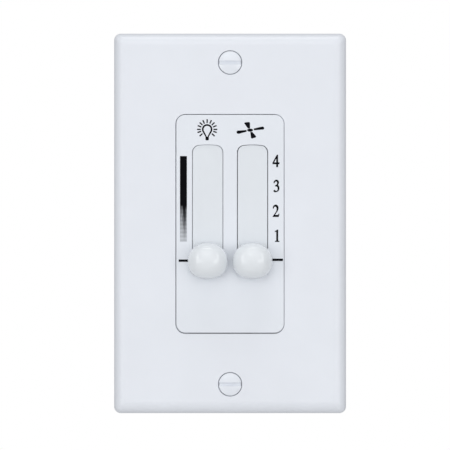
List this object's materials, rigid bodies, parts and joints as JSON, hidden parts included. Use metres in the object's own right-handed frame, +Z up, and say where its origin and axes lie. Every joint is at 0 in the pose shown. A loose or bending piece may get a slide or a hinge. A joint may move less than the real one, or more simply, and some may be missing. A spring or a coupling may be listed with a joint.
{
  "type": "wall dimmer and fan slide control",
  "caption": "Single-gang wall control: white plate and insert, a slide dimmer for the light beside a slide switch for fan speed, strap-mounted box behind.",
  "frame": {"origin": "middle of the wall plate on the wall's surface, where the plate's rim and the strap's ears rest", "axes": "+X right, +Y into the wall, +Z up, for someone who faces the wall"},
  "size_m": [0.0698, 0.045, 0.1142],
  "materials": {
    "plate_white": "satin moulded",
    "face_white": "satin moulded",
    "knob_white": "glossy moulded",
    "screw_white": "gloss paint",
    "steel": "zinc plated",
    "spring_steel": "bright",
    "brass": "stamped",
    "black_plastic": "moulded",
    "legend_ink": "printed",
    "fibre": "pressed fibre",
    "laminate": "phenolic laminate",
    "board_green": "solder mask",
    "ferrite": "sintered",
    "copper": "enamelled wire",
    "capacitor_yellow": "moulded",
    "capacitor_blue": "moulded",
    "capacitor_grey": "moulded",
    "resistor_tan": "lacquered",
    "glass_orange": "glossy"
  },
  "bodies": {
    "base": {"wall_plate": "plate_white", "plate_screw_upper": "screw_white", "plate_screw_lower": "screw_white", "face_insert": "face_white", "channel_plate": "face_white", "light_resistor_can": "steel", "light_resistor_element": "laminate", "air_gap_leaf": "brass", "air_gap_contact": "brass", "fan_switch_case": "black_plastic", "fan_switch_base": "laminate", "fan_common_rail": "brass", "fan_contact_speed_1": "brass", "fan_contact_speed_2": "brass", "fan_contact_speed_3": "brass", "fan_contact_speed_4": "brass", "mounting_strap": "steel", "insulating_sheet": "fibre", "circuit_board": "board_green", "triac": "black_plastic", "triac_pad": "glass_orange", "triac_rivet": "steel", "choke_core": "ferrite", "choke_winding": "copper", "speed_capacitor_large": "capacitor_grey", "speed_capacitor_small": "capacitor_grey", "filter_capacitor": "capacitor_yellow", "timing_capacitor": "capacitor_blue", "diac": "glass_orange", "timing_resistor": "resistor_tan", "bleed_resistor": "resistor_tan", "rear_housing": "black_plastic", "housing_screw_1": "steel", "housing_screw_2": "steel", "housing_screw_3": "steel", "housing_screw_4": "steel", "device_screw_upper": "steel", "device_screw_lower": "steel", "screw_retainer_upper": "fibre", "screw_retainer_lower": "fibre"},
    "light_slider": {"light_knob": "knob_white", "light_saddle": "steel", "light_lever": "black_plastic", "light_wiper_carriage": "black_plastic", "light_wiper_contact": "brass"},
    "fan_slider": {"fan_knob": "knob_white", "fan_saddle": "steel", "fan_lever": "black_plastic", "fan_carriage": "black_plastic", "fan_bridge_contact": "brass", "fan_detent_spring": "spring_steel"}
  },
  "joints": [
    {"name": "light_slide", "type": "slide", "parent": "base", "child": "light_slider", "axis": [0, 0, 1], "range_m": [0, 0.03]},
    {"name": "fan_slide", "type": "slide", "parent": "base", "child": "fan_slider", "axis": [0, 0, 1], "range_m": [0, 0.03]}
  ]
}
